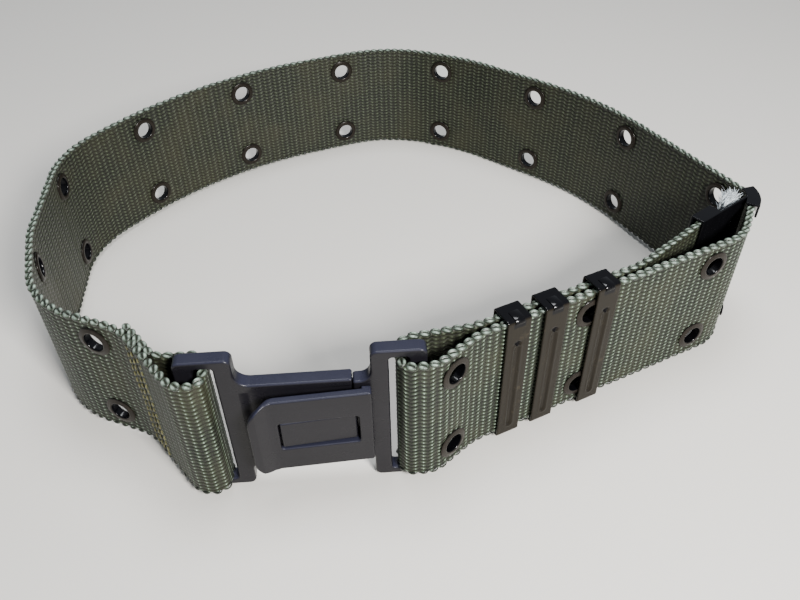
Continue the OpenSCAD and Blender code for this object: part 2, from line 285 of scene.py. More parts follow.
class Nodes:
    """Short calls for building one node material."""

    def __init__(self, name):
        self.material = bpy.data.materials.new(name)
        self.material.use_nodes = True
        self.tree = self.material.node_tree
        self.shader = self.tree.nodes["Principled BSDF"]

    def add(self, kind, **settings):
        node = self.tree.nodes.new(kind)
        for key, value in settings.items():
            setattr(node, key, value)
        return node

    def link(self, source, target):
        self.tree.links.new(source, target)

    def set(self, **values):
        for key, value in values.items():
            self.shader.inputs[key.replace("_", " ")].default_value = value

    def noise(self, vector, scale, detail=3.0, roughness=0.55):
        node = self.add("ShaderNodeTexNoise")
        node.inputs["Scale"].default_value = scale
        node.inputs["Detail"].default_value = detail
        node.inputs["Roughness"].default_value = roughness
        self.link(vector, node.inputs["Vector"])
        return node.outputs["Fac"]

    def scaled(self, vector, x, y, z):
        node = self.add("ShaderNodeVectorMath", operation="MULTIPLY")
        node.inputs[1].default_value = (x, y, z)
        self.link(vector, node.inputs[0])
        return node.outputs["Vector"]

    def ramp(self, value, *stops):
        """A colour ramp with stops of (place, colour or grey)."""
        node = self.add("ShaderNodeValToRGB")
        elements = node.color_ramp.elements
        while len(elements) < len(stops):
            elements.new(0.5)
        for element, (place, colour) in zip(elements, stops):
            element.position = place
            element.color = (*colour, 1) if isinstance(colour, tuple) else (colour, colour, colour, 1)
        self.link(value, node.inputs["Fac"])
        return node.outputs["Color"]

    def math(self, operation, a, b):
        node = self.add("ShaderNodeMath", operation=operation)
        for socket, value in zip(node.inputs, (a, b)):
            if isinstance(value, (int, float)):
                socket.default_value = value
            else:
                self.link(value, socket)
        return node.outputs["Value"]

    def mix(self, factor, a, b, blend="MIX"):
        node = self.add("ShaderNodeMix", data_type="RGBA", blend_type=blend)
        for socket, value in zip((node.inputs[0], node.inputs[6], node.inputs[7]), (factor, a, b)):
            if isinstance(value, tuple):
                socket.default_value = (*value, 1)
            elif isinstance(value, (int, float)):
                socket.default_value = value
            else:
                self.link(value, socket)
        return node.outputs[2]

    def bump(self, height, distance_mm, strength=1.0):
        node = self.add("ShaderNodeBump")
        node.inputs["Distance"].default_value = distance_mm * MM
        node.inputs["Strength"].default_value = strength
        self.link(height, node.inputs["Height"])
        self.link(node.outputs["Normal"], self.shader.inputs["Normal"])


def webbing_material(name, gap, cord, crest_highlight, patch):
    """Olive nylon cords with fine fibres along each cord: painted shade between the cords and a painted
    highlight on their crests.
    """
    m = Nodes(name)
    weave = m.add("ShaderNodeAttribute", attribute_name="weave").outputs["Fac"]
    across = m.add("ShaderNodeUVMap", uv_map="strap").outputs["UV"]
    place = m.add("ShaderNodeTexCoord").outputs["Object"]
    fibres = m.noise(m.scaled(across, 0.9, 9.0, 1), 1.0, 2.0)
    patches = m.noise(place, 45.0, 2.0)
    yarn = m.noise(m.scaled(across, 0.30, 0.9, 1), 1.0, 1.0)
    # Painted shade in the gaps between cords and a painted highlight on their crests, read from the cords'
    # height.
    colour = m.ramp(weave, (0.2, tuple(0.3 * c for c in gap)), (0.6, gap), (0.86, cord), (1.0, crest_highlight))
    streaked = m.mix(0.6, colour, m.ramp(fibres, (0.3, 0.4), (0.75, 1.6)), "MULTIPLY")
    varied = m.mix(0.6, streaked, m.ramp(yarn, (0.3, 0.45), (0.75, 1.5)), "MULTIPLY")
    browned = m.mix(m.ramp(patches, (0.4, 0.0), (0.75, 0.3)), varied, patch)
    m.link(browned, m.shader.inputs["Base Color"])
    m.set(Roughness=0.5, Sheen_Weight=0.03, Sheen_Roughness=0.4)
    m.shader.inputs["Specular IOR Level"].default_value = 0.35
    m.bump(fibres, 0.12)
    return m.material


def yarn_material(name, colour, contrast, roughness=0.45):
    """Twisted yarn, with fine fibres."""
    m = Nodes(name)
    place = m.add("ShaderNodeTexCoord").outputs["Object"]
    fibres = m.noise(place, 1800.0, 2.0)
    tone = m.noise(place, 420.0, 1.0)
    low = tuple(c / contrast for c in colour)
    high = tuple(min(1.0, c * contrast) for c in colour)
    m.link(m.ramp(m.math("MULTIPLY", m.math("ADD", fibres, tone), 0.5), (0.38, low), (0.62, high)),
           m.shader.inputs["Base Color"])
    m.set(Roughness=roughness, Sheen_Weight=0.08, Sheen_Roughness=0.35)
    m.bump(fibres, 0.1)
    return m.material


def loop_material(name, hollow_shade, crest_highlight):
    """Edge loops: painted shade in the hollows and between the loops, a painted highlight on the crown of the
    yarn.
    """
    m = Nodes(name)
    crown = m.add("ShaderNodeAttribute", attribute_name="weave").outputs["Fac"]
    place = m.add("ShaderNodeTexCoord").outputs["Object"]
    fibres = m.noise(place, 1500.0, 2.0)
    plies = m.ramp(m.noise(place, 650.0, 1.0), (0.35, 0.45), (0.65, 1.35))
    middle = tuple(0.7 * a + 0.3 * b for a, b in zip(hollow_shade, crest_highlight))
    # Painted shade at the low end of the ramp, painted highlight at the crown.
    colour = m.ramp(crown, (0.0, tuple(0.3 * c for c in hollow_shade)), (0.45, hollow_shade), (0.75, middle), (1.0, crest_highlight))
    m.link(m.mix(0.8, colour, plies, "MULTIPLY"), m.shader.inputs["Base Color"])
    m.set(Roughness=0.36, Sheen_Weight=0.05)
    m.bump(fibres, 0.15)
    return m.material


def top_share(m, low, high):
    """How far a face looks up, from 0 at one slope to 1 at the other; it places the painted top colour."""
    upward = m.add("ShaderNodeSeparateXYZ")
    m.link(m.add("ShaderNodeNewGeometry").outputs["Normal"], upward.inputs[0])
    return m.ramp(upward.outputs["Z"], (low, 0.0), (high, 1.0))


def moulded_material(name, colour, painted_top_colour):
    """Satin moulded plastic with a fine grain and faint handling marks, and painted light on its upward
    faces.
    """
    m = Nodes(name)
    place = m.add("ShaderNodeTexCoord").outputs["Object"]
    grain = m.noise(place, 2200.0, 2.0)
    marks = m.noise(m.scaled(place, 1, 1, 5), 90.0, 4.0, 0.7)
    tone = m.noise(place, 25.0, 2.0)
    low = tuple(0.85 * c for c in colour)
    high = tuple(1.2 * c for c in colour)
    # Painted light: upward faces lighter and bluer, as if lit by the sky.
    base = m.mix(top_share(m, 0.2, 0.8), m.ramp(tone, (0.3, low), (0.7, high)), painted_top_colour)
    m.link(m.mix(0.35, base, m.ramp(grain, (0.35, 0.7), (0.68, 1.3)), "MULTIPLY"),
           m.shader.inputs["Base Color"])
    m.link(m.ramp(marks, (0.35, 0.26), (0.7, 0.38)), m.shader.inputs["Roughness"])
    m.shader.inputs["Specular IOR Level"].default_value = 0.22
    m.bump(grain, 0.02)
    return m.material


def metal_material(name, face_colour, painted_top_colour, roughness, wear_colour, wear_from=0.62):
    """Dark coated sheet metal, glossy on top, with the coating rubbed thin in places.

    Upward faces take a near-black painted shade. A vertex value paints the same shade
    where the metal is pierced or folded under.
    """
    m = Nodes(name)
    place = m.add("ShaderNodeTexCoord").outputs["Object"]
    painted_shade = m.add("ShaderNodeAttribute", attribute_name="painted_shade").outputs["Fac"]
    brushed = m.noise(m.scaled(place, 1, 1, 0.06), 1500.0, 3.0)
    rubbed = m.noise(place, 190.0, 4.0, 0.65)
    is_top = top_share(m, 0.35, 0.75)
    streaks = m.mix(0.4, face_colour, m.ramp(brushed, (0.3, 0.5), (0.7, 1.6)), "MULTIPLY")
    worn = m.mix(m.ramp(rubbed, (wear_from, 0.0), (wear_from + 0.16, 0.6)), streaks, wear_colour)
    # Painted shade: upward faces and marked places take the near-black top colour.
    m.link(m.mix(m.math("MAXIMUM", is_top, painted_shade), worn, painted_top_colour), m.shader.inputs["Base Color"])
    dull = m.ramp(brushed, (0.3, roughness * 0.85), (0.7, roughness * 1.25))
    m.link(m.mix(is_top, dull, (0.16, 0.16, 0.16)), m.shader.inputs["Roughness"])
    m.link(m.math("MULTIPLY", is_top, 0.5), m.shader.inputs["Coat Weight"])
    m.shader.inputs["Specular IOR Level"].default_value = 0.14
    m.set(Metallic=0.3, Coat_Roughness=0.1)
    m.bump(brushed, 0.012)
    return m.material


# Both webbing colours paint a highlight on the cord crests. The inner face's colours are a darker copy of the
# outer ones, with much dimmer crests: painted shade for the face turned into the ring.
OUTER_WEBBING = webbing_material("webbing_outer", (0.008, 0.012, 0.005), (0.060, 0.083, 0.052),
                                 (0.400, 0.500, 0.420), (0.050, 0.048, 0.022))
SHADED_INNER_WEBBING = webbing_material("webbing_inner_shaded", (0.012, 0.015, 0.007), (0.038, 0.047, 0.026),
                                 (0.120, 0.150, 0.105), (0.045, 0.040, 0.018))
# Painted shade in the loops' hollows and a painted highlight on their crowns.
SELVEDGE = loop_material("selvedge_yarn", (0.014, 0.021, 0.011), (0.300, 0.385, 0.320))
THREAD = yarn_material("sewing_thread", (0.115, 0.110, 0.042), 1.6)
FRAYED = yarn_material("frayed_fibres", (0.50, 0.55, 0.58), 1.5, 0.5)
# The second colour is the painted light on the buckle's tops.
PLASTIC = moulded_material("buckle_plastic", (0.008, 0.0075, 0.010), (0.020, 0.021, 0.036))
# The second colour of each metal is painted shade on its upward faces and marked places.
KEEPER_METAL = metal_material("keeper_metal", (0.013, 0.0105, 0.007), (0.003, 0.003, 0.004), 0.36,
                              (0.060, 0.048, 0.028))
CLIP_METAL = metal_material("clip_metal", (0.004, 0.004, 0.005), (0.003, 0.003, 0.004), 0.18,
                            (0.015, 0.014, 0.011), 0.74)
EYELET_FLANGE = metal_material("eyelet_flange", (0.017, 0.014, 0.011), (0.010, 0.009, 0.008), 0.34,
                               (0.055, 0.044, 0.030), 0.62)
# Painted shade: the bore and its lips take a near-black colour, the darkness inside the hole.
SHADED_EYELET_BORE = metal_material("eyelet_bore_shaded", (0.003, 0.003, 0.004), (0.003, 0.003, 0.004), 0.2,
                             (0.02, 0.018, 0.012), 0.74)


# ---------------------------------------------------------------- webbing

ROWS = round(web_width / 1.9)
ROW = web_width / ROWS
SAMPLES_PER_ROW = 4
FLOAT_LENGTH = 2.8
LEAN_ROWS = 0.5
CREST_OUT = 0.12
WEAVE_DEPTH = 0.55
CORD_CURVE = 3.9
FLOAT_END = 0.5
EDGE_INSET = 0.55
EDGE_ROUND = 1.2
EDGE_SHARE = 0.45
HOLE_CUT_R = barrel_r + 0.4
PRESS_R = flange_r + 0.2
PRESS_FADE = 2.0
PRESS_DEPTH = 0.3

corner_distance = strap.nearest(clip_high)


def float_columns(first, last):
    """Distances of the mesh columns between two places: the ends and middles of the cords' floats."""
    count = 2 * round((last - first) / FLOAT_LENGTH)
    return np.linspace(first, last, count + 1)


def weave_heights(column, level):
    """Height of the cords, from 0 in the gaps to 1 on the crests."""
    across = (level / SAMPLES_PER_ROW) % 1 - 0.5
    cord = np.sqrt(np.clip(1 - CORD_CURVE * across**2, 0, 1))
    is_end = column % 2 == 0
    return cord * np.where(is_end, FLOAT_END, 1.0)


def webbing_piece(name, first, last):
    """A stretch of webbing as one closed sheet, woven on both faces, with a hole at each eyelet."""
    distance = float_columns(first, last)
    column, level = (a.astype(float) for a in np.meshgrid(
        np.arange(len(distance)), np.arange(ROWS * SAMPLES_PER_ROW + 1), indexing="ij"))
    along = np.broadcast_to(distance[:, None], column.shape)
    place, tangent = strap.at(distance)
    side = outward(tangent)

    lean = np.abs((column / 2) % 2 - 1) - 0.5
    share = level / (ROWS * SAMPLES_PER_ROW)
    inner_share = np.clip(np.minimum(share, 1 - share) * ROWS, 0, 1)
    lifted = lean * LEAN_ROWS * ROW * inner_share
    height = web_low + EDGE_INSET + share * (web_width - 2 * EDGE_INSET) + lifted
    weave = weave_heights(column, level)
    from_edge = np.minimum(height - web_low, web_high - height) - EDGE_INSET
    rounding = np.sqrt(1 - (1 - np.clip(from_edge / EDGE_ROUND, 0, 1))**2)
    relief = CREST_OUT - WEAVE_DEPTH * (1 - weave)
    for d, z in all_eyelets:
        r = np.hypot(along - d, height - z)
        relief -= PRESS_DEPTH * (1 - smoothstep((r - PRESS_R) / PRESS_FADE))
    out = (half_thickness + relief) * (EDGE_SHARE + (1 - EDGE_SHARE) * rounding)

    faces_points = []
    for sign in (1, -1):
        xy = place[:, None, :] + sign * out[..., None] * side[:, None, :]
        faces_points.append(np.concatenate([xy, height[..., None]], -1).reshape(-1, 3))
    points = np.concatenate(faces_points)

    columns, levels = column.shape
    other = columns * levels
    def at(i, k, back=False):
        return i * levels + k + (other if back else 0)

    i, k = np.meshgrid(np.arange(columns - 1), np.arange(levels - 1), indexing="ij")
    middle_d = (distance[i] + distance[i + 1]) / 2
    middle_z = (height[i, k] + height[i + 1, k + 1]) / 2
    kept = np.ones(i.shape, bool)
    for d, z in all_eyelets:
        kept &= np.hypot(middle_d - d, middle_z - z) > HOLE_CUT_R

    def quads(mask, *corners):
        a, b = i[mask], k[mask]
        return np.stack([at(a + di, b + dk, back) for di, dk, back in corners], -1)

    framed = np.pad(kept, 1)
    ends_after = kept & ~framed[2:, 1:-1]
    ends_before = kept & ~framed[:-2, 1:-1]
    ends_above = kept & ~framed[1:-1, 2:]
    ends_below = kept & ~framed[1:-1, :-2]
    outer = quads(kept, (0, 0, False), (1, 0, False), (1, 1, False), (0, 1, False))
    inner = quads(kept, (0, 0, True), (0, 1, True), (1, 1, True), (1, 0, True))
    walls = [
        quads(ends_after, (1, 0, False), (1, 0, True), (1, 1, True), (1, 1, False)),
        quads(ends_before, (0, 0, True), (0, 0, False), (0, 1, False), (0, 1, True)),
        quads(ends_above, (0, 1, False), (1, 1, False), (1, 1, True), (0, 1, True)),
        quads(ends_below, (0, 0, True), (1, 0, True), (1, 0, False), (0, 0, False)),
    ]
    faces = np.concatenate([outer, inner] + walls)
    material = np.zeros(len(faces), int)
    material[len(outer):len(outer) + len(inner)] = 1

    used = np.zeros(len(points), bool)
    used[faces.ravel()] = True
    renumber = np.cumsum(used) - 1
    piece = add_mesh(name, points[used], renumber[faces], [OUTER_WEBBING, SHADED_INNER_WEBBING], material)
    mesh = piece.data
    # The material also reads this height as painted light: painted shade in the gaps, painted highlight on
    # the crests.
    add_value(piece, "weave", np.tile(weave.ravel(), 2)[used])
    uv = np.stack([along.ravel(), (level / SAMPLES_PER_ROW).ravel() * ROW], -1)
    uv = np.tile(uv, (2, 1))[used]
    loop_vertex = np.zeros(len(mesh.loops), np.int32)
    mesh.loops.foreach_get("vertex_index", loop_vertex)
    mesh.uv_layers.new(name="strap").data.foreach_set("uv", uv[loop_vertex].astype(np.float32).ravel())
    sharpen(piece, 75)
    return piece


# ---------------------------------------------------------------- selvedge loops

LOOP_PITCH = 3.85
LOOP_LONG = 1.45
LOOP_WIDE = 0.82
LOOP_YARN = 0.7
LOOP_DIP = 0.35
LOOP_TWIST = 0.4
LOOP_SEGMENTS = 16
LOOP_SIDES = 8


def ring_mesh(centre, along, across, up, size):
    """Points of one oval ring of yarn, whose ends dip into the edge."""
    a = np.linspace(0, 2 * math.pi, LOOP_SEGMENTS, endpoint=False)
    b = np.linspace(0, 2 * math.pi, LOOP_SIDES, endpoint=False)
    a, b = np.meshgrid(a, b, indexing="ij")
    spread_x = LOOP_LONG * size + LOOP_YARN * np.cos(b)
    spread_y = LOOP_WIDE * size + LOOP_YARN * np.cos(b)
    rise = LOOP_YARN * np.sin(b) - LOOP_DIP * np.cos(a)**2
    local = (spread_x * np.cos(a))[..., None] * along + (spread_y * np.sin(a))[..., None] * across
    return (centre + local + rise[..., None] * up).reshape(-1, 3)


def ring_painted_light():
    """Painted light on each point of a ring, from 0 to 1: a painted highlight on the crown of its yarn,
    painted shade below it and where the ring dips into the edge.
    """
    a = np.linspace(0, 2 * math.pi, LOOP_SEGMENTS, endpoint=False)
    b = np.linspace(0, 2 * math.pi, LOOP_SIDES, endpoint=False)
    a, b = np.meshgrid(a, b, indexing="ij")
    crown = np.clip(0.35 + 0.65 * np.sin(b) + 0.15 * np.cos(b), 0, 1)
    return (crown * (1 - 0.55 * np.cos(a)**2)).ravel()


def selvedge_piece(name, first, last):
    """Loops of weft yarn along both edges of a stretch of webbing, each an oval ring."""
    count = round((last - first) / LOOP_PITCH)
    pitch = (last - first) / count
    points, faces = [], []
    quads = grid_faces(LOOP_SEGMENTS, LOOP_SIDES, True, True)
    for edge, direction in ((web_high, 1), (web_low, -1)):
        for index in range(count):
            d = first + (index + 0.5) * pitch
            place, tangent = strap.at(np.array(d))
            side = np.append(outward(tangent), 0)
            along = np.append(tangent, 0)
            up = np.array([0, 0, direction])
            twist = LOOP_TWIST + random.normal(0, 0.07)
            along = along * math.cos(twist) + side * math.sin(twist)
            across = np.cross(up, along)
            tip = random.normal(0.12, 0.08)
            across = across * math.cos(tip) + up * math.sin(tip)
            centre = np.append(place, edge - direction * (LOOP_YARN + 0.05))
            faces.append(quads + len(points) * LOOP_SEGMENTS * LOOP_SIDES)
            points.append(ring_mesh(centre, along, across, up, 1 + random.normal(0, 0.04)))
    piece = add_mesh(name, np.concatenate(points), np.concatenate(faces), [SELVEDGE])
    face_outward(piece)
    # Each ring's "weave" value here is its painted light: painted highlight on the crown, painted shade in
    # the hollows and at the dips.
    add_value(piece, "weave", np.tile(ring_painted_light(), len(points)))
    return piece


def build_strap():
    stretches = (("front", 0, corner_distance), ("back", corner_distance, split_distance),
                 ("left", split_distance, strap.length))
    for stretch, first, last in stretches:
        webbing = webbing_piece("webbing_" + stretch, first, last)
        selvedge = selvedge_piece("selvedge_" + stretch, first, last)
        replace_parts(webbing, "buckle_end_webbing" if stretch == "left" else "belt_webbing")
        for piece in (webbing, selvedge):
            if stretch == "left":
                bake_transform(piece)
            else:
                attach(piece, "root")


# ---------------------------------------------------------------- eyelets

LATHE_STEPS = 40


def eyelet_profile():
    """The eyelet's section as [radius, height above the strap's middle], and where its bore starts."""
    face, back = half_thickness, -half_thickness
    outer = [(bore_r + 0.15, face + 0.52), (bore_r + 0.5, face + 0.62), (bore_r + 0.9, face + 0.58),
             (bore_r + 1.2, face + 0.47), (flange_r - 0.6, face + 0.40), (flange_r - 0.25, face + 0.28),
             (flange_r - 0.05, face + 0.08), (flange_r - 0.1, face - 0.2), (barrel_r, face - 0.2)]
    inner = [(barrel_r, back - 0.5), (barrel_r + 0.9, back - 0.52), (barrel_r + 1.0, back - 0.66),
             (barrel_r + 0.7, back - 0.8), (barrel_r, back - 0.82), (bore_r + 0.2, back - 0.72)]
    bore = [(bore_r + 0.02, back - 0.45), (bore_r, back), (bore_r, face), (bore_r + 0.02, face + 0.3)]
    return np.array(outer + inner + bore), len(outer + inner)


def washer_profile():
    back = -half_thickness
    return np.array([(barrel_r, back + 0.1), (washer_r - 0.1, back + 0.1), (washer_r, back - 0.15),
                     (washer_r - 0.15, back - 0.38), (washer_r - 0.5, back - 0.48),
                     (barrel_r + 0.15, back - 0.5), (barrel_r, back - 0.4)])


def lathed(profile, place):
    """Points of a profile turned about an eyelet's axis, which is square to the strap."""
    d, z = place
    centre, tangent = strap.at(np.array(d))
    side = np.append(outward(tangent), 0)
    along = np.append(tangent, 0)
    angle = np.linspace(0, 2 * math.pi, LATHE_STEPS, endpoint=False)[:, None]
    x, y = profile[:, 0] * np.cos(angle), profile[:, 0] * np.sin(angle)
    h = np.broadcast_to(profile[:, 1], x.shape)
    up = np.array([0, 0, 1])
    turned = x[..., None] * along + y[..., None] * up + h[..., None] * side
    return (np.append(centre, z) + turned).reshape(-1, 3)


def lathed_piece(name, profile, list_of_places, materials, bore_from=None):
    quads = grid_faces(LATHE_STEPS, len(profile), True, True)
    size = LATHE_STEPS * len(profile)
    points = np.concatenate([lathed(profile, place) for place in list_of_places])
    faces = np.concatenate([quads + n * size for n in range(len(list_of_places))])
    material = None
    # The bore and its lips take the second material, the painted shade inside the hole.
    if bore_from is not None:
        segment = np.tile(np.arange(len(profile)), LATHE_STEPS)
        material = np.tile((segment >= bore_from - 1).astype(int), len(list_of_places))
    piece = add_mesh(name, points, faces, materials, material)
    face_outward(piece)
    sharpen(piece, 55)
    return piece


def build_eyelets():
    profile, bore_from = eyelet_profile()
    washer = washer_profile()
    for node in EYELET_NODES:
        body = "left_end" if node == "left_end_eyelets" else "root"
        washers = node[:-1] + "_washers"
        metals = [EYELET_FLANGE, SHADED_EYELET_BORE]
        stack = lathed_piece(node + "_turned", profile, places[node], metals, bore_from)
        plates = lathed_piece(washers + "_turned", washer, places[node], [EYELET_FLANGE])
        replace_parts(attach(stack, body), node)
        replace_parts(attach(plates, body), washers)


# ---------------------------------------------------------------- stitching

STITCH_LENGTH = 2.5
STITCH_PITCH = 3.1
STITCH_R = 0.36
STITCH_BOW = 0.12
SEWN_STRETCH = 110
STITCH_RINGS = 7
STITCH_SIDES = 6


def capsule(centre, direction, length, radius, bow):
    """Points of one stitch: a short rounded thread, bowed out in the middle."""
    direction = direction / np.linalg.norm(direction)
    bow_way = bow / max(np.linalg.norm(bow), 1e-9)
    third = np.cross(direction, bow_way)
    t = np.linspace(-1, 1, STITCH_RINGS)[:, None]
    angle = np.linspace(0, 2 * math.pi, STITCH_SIDES, endpoint=False)[None, :]
    r = radius * np.sqrt(np.clip(1.02 - t**4, 0, 1))
    spine = centre + (t * length / 2)[..., None] * direction + (1 - t**2)[..., None] * bow
    ring = (r * np.cos(angle))[..., None] * bow_way + (r * np.sin(angle))[..., None] * third
    return (spine + ring).reshape(-1, 3)


def capped_tube_faces(rings, sides):
    body = grid_faces(rings, sides, False, True).tolist()
    return body + [list(range(sides))[::-1], list(range((rings - 1) * sides, rings * sides))]


def build_stitching():
    """A row of stitches where each CAD stitch row lies, bowed away from the strap's middle."""
    faces, points = [], []
    tube = capped_tube_faces(STITCH_RINGS, STITCH_SIDES)
    for row in solids_of("sewn_end_stitching"):
        low, high = row.min(0), row.max(0)
        centre = (low + high) / 2
        gaps = np.linalg.norm(strap.points - centre[:2], axis=1)
        nearest = np.argmin(np.where(strap.distance > strap.length - SEWN_STRETCH, gaps, np.inf))
        to_row = np.append(centre[:2] - strap.points[nearest], 0)
        bow = to_row / np.linalg.norm(to_row) * STITCH_BOW
        for z in np.arange(low[2] + STITCH_PITCH / 2, high[2], STITCH_PITCH):
            place = np.array([centre[0], centre[1], z]) + np.append(random.normal(0, 0.12, 2), 0)
            lean = np.array([*random.normal(0, 0.05, 2), 1])
            faces += [[v + len(points) * STITCH_RINGS * STITCH_SIDES for v in f] for f in tube]
            points.append(capsule(place, lean, STITCH_LENGTH, STITCH_R, bow))
    piece = add_mesh("sewn_stitches", np.concatenate(points), faces, [THREAD])
    face_outward(piece)
    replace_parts(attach(piece, "left_end"), "sewn_end_stitching")


# ---------------------------------------------------------------- moulded buckle and clip


FLAT_DEGREES = 1.5
ROUND_FROM_DEGREES = 35
SHARP_DEGREES = 38


def rounded_copy(name, node, radius, segments, material, body):
    """A CAD node's shape with its outer edges rounded, as a new piece."""
    mesh = bpy.data.meshes.new(name)
    copy = bmesh.new()
    copy.from_mesh(nodes[node].data)
    bmesh.ops.remove_doubles(copy, verts=copy.verts, dist=MERGE_GAP)
    bmesh.ops.dissolve_limit(copy, angle_limit=math.radians(FLAT_DEGREES), verts=copy.verts, edges=copy.edges)
    bmesh.ops.recalc_face_normals(copy, faces=copy.faces)
    least_turn = math.radians(ROUND_FROM_DEGREES)
    edges = [e for e in copy.edges
             if len(e.link_faces) == 2 and e.is_convex and e.calc_face_angle() > least_turn]
    bmesh.ops.bevel(copy, geom=edges, offset=radius * MM, offset_type="OFFSET", segments=segments,
                    profile=0.5, affect="EDGES", clamp_overlap=False, miter_outer="ARC")
    copy.to_mesh(mesh)
    copy.free()
    mesh.materials.clear()
    mesh.materials.append(material)
    for face in mesh.polygons:
        face.use_smooth = True
        face.material_index = 0
    piece = bpy.data.objects.new(name, mesh)
    bpy.context.scene.collection.objects.link(piece)
    sharpen(piece, SHARP_DEGREES)
    weighted = piece.modifiers.new("weighted", "WEIGHTED_NORMAL")
    weighted.keep_sharp = True
    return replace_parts(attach(piece, body), node)


def build_buckle():
    rounded_copy("buckle_left", "left_buckle_half", 0.8, 4, PLASTIC, "left_end")
    rounded_copy("buckle_right", "right_buckle_half", 0.8, 4, PLASTIC, "root")
    rounded_copy("buckle_latch", "latch_plate", 0.7, 4, PLASTIC, "latch")


def build_clip():
    rounded_copy("tail_clip", "end_clip", 0.25, 2, CLIP_METAL, "root")


# ---------------------------------------------------------------- keepers

SHEET = 0.9
TAB_ROOM = 0.15
KEEPER_CORNER = 1.3
KEEPER_EDGE = 0.28
GROOVE_ABOVE_FOOT = 6
GROOVE_BELOW_TOP = 13.5
GROOVE_HALF_W = 1.25
GROOVE_DEPTH = 0.6
GROOVE_SOFT = 0.5
RIM_HEIGHT = 0.14
RIM_OUT = 0.35
SLOT_BELOW_TOP = 11.2
SLOT_HALF_H = 0.9
SLOT_HALF_W = 1.25
SLOT_DEPTH = 0.75
NOTCH_REACH = 3.6
NOTCH_HALF_W = 2.5
TAB_HALF_W = 1.9
TAB_EDGE = 0.15
TAB_T = 0.7


def rounded_loop(width, height, radius, step):
    """Points and outward normals round a rounded rectangle, centred on zero."""
    points, normals = [], []
    corners = ((1, 1, 0), (-1, 1, 90), (-1, -1, 180), (1, -1, 270))
    for x, y, start in corners:
        centre = np.array([x * (width / 2 - radius), y * (height / 2 - radius)])
        for angle in np.linspace(start, start + 90, 7):
            way = np.array([math.cos(math.radians(angle)), math.sin(math.radians(angle))])
            points.append(centre + radius * way)
            normals.append(way)
    full_points, full_normals = [], []
    for n in range(len(points)):
        a, b = points[n], points[(n + 1) % len(points)]
        count = max(1, round(np.linalg.norm(b - a) / step))
        for t in np.arange(count) / count:
            full_points.append(a + t * (b - a))
            way = normals[n] + t * (normals[(n + 1) % len(points)] - normals[n])
            full_normals.append(way / np.linalg.norm(way))
    return np.array(full_points), np.array(full_normals)


def strip_section(width, thickness, edge):
    """The sheet's section as [across the strip, depth below its outer face], with rounded edges."""
    flat = np.linspace(-width / 2 + edge, width / 2 - edge, 20)
    outer = [(w, 0.0) for w in flat]
    turn = [(width / 2 - edge + edge * math.sin(a), edge - edge * math.cos(a))
            for a in np.radians((30, 60, 90))]
    back_turn = [(width / 2 - edge + edge * math.cos(a), thickness - edge + edge * math.sin(a))
                 for a in np.radians((0, 30, 60, 90))]
    right = turn + back_turn
    left = [(-w, t) for w, t in right[::-1]]
    return np.array(outer + right + left)


def build_keeper(name, along, across):
    points = node_points(name)
    low, high = node_box(name)
    a, c = points @ along, points @ across
    middle = along * (a.min() + a.max()) / 2 + across * (c.min() + c.max()) / 2
    middle[2] = (low[2] + high[2]) / 2
    width, depth = a.max() - a.min(), c.max() - c.min()
    height = high[2] - low[2] - 2 * TAB_ROOM
    loop, normal = rounded_loop(depth, height, KEEPER_CORNER, 0.5)
    section = strip_section(width, SHEET, KEEPER_EDGE)
    w, below = section[:, 0], section[:, 1]

    on_front = normal[:, 0] < -0.99
    is_outer = on_front[:, None] & (below[None, :] < 0.01)
    z = loop[:, 1]
    groove_low, groove_high = -height / 2 + GROOVE_ABOVE_FOOT, height / 2 - GROOVE_BELOW_TOP
    past = np.clip(np.maximum(groove_low - z, z - groove_high), 0, None)
    r = np.hypot(past[:, None], w[None, :])
    groove = GROOVE_DEPTH * (1 - smoothstep((r - GROOVE_HALF_W + GROOVE_SOFT) / GROOVE_SOFT))
    rim = RIM_HEIGHT * np.exp(-((r - GROOVE_HALF_W - RIM_OUT) / RIM_OUT)**2)
    slot_r = np.hypot((z[:, None] - (height / 2 - SLOT_BELOW_TOP)) / SLOT_HALF_H, w[None, :] / SLOT_HALF_W)
    slot = 1 - smoothstep((slot_r - 0.75) / 0.4)
    notch = (z[:, None] > height / 2 - NOTCH_REACH) & (np.abs(w[None, :]) < NOTCH_HALF_W)
    sink = np.where(is_outer, np.maximum(groove, SLOT_DEPTH * slot) - rim, 0)
    # Painted shade: the slot, which is only a shallow sink here, the notch, which is not cut at all, and the
    # band's top take the near-black colour.
    painted_shade = np.where(is_outer, np.maximum(slot, notch), 0) + (normal[:, 1] > 0.5)[:, None]

    inward = below[None, :] + sink
    position = (middle
                + w[None, :, None] * along
                + (loop[:, None, 0] - normal[:, None, 0] * inward)[..., None] * across
                + (loop[:, None, 1] - normal[:, None, 1] * inward)[..., None] * np.array([0, 0, 1]))
    faces = grid_faces(len(loop), len(section), True, True)
    band = add_mesh(name + "_band", position.reshape(-1, 3), faces, [KEEPER_METAL])
    face_outward(band)
    add_value(band, "painted_shade", np.clip(painted_shade, 0, 1).ravel())
    sharpen(band, 60)
    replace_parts(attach(band, name), name)
    build_keeper_tab(name, middle, along, across, depth, height)


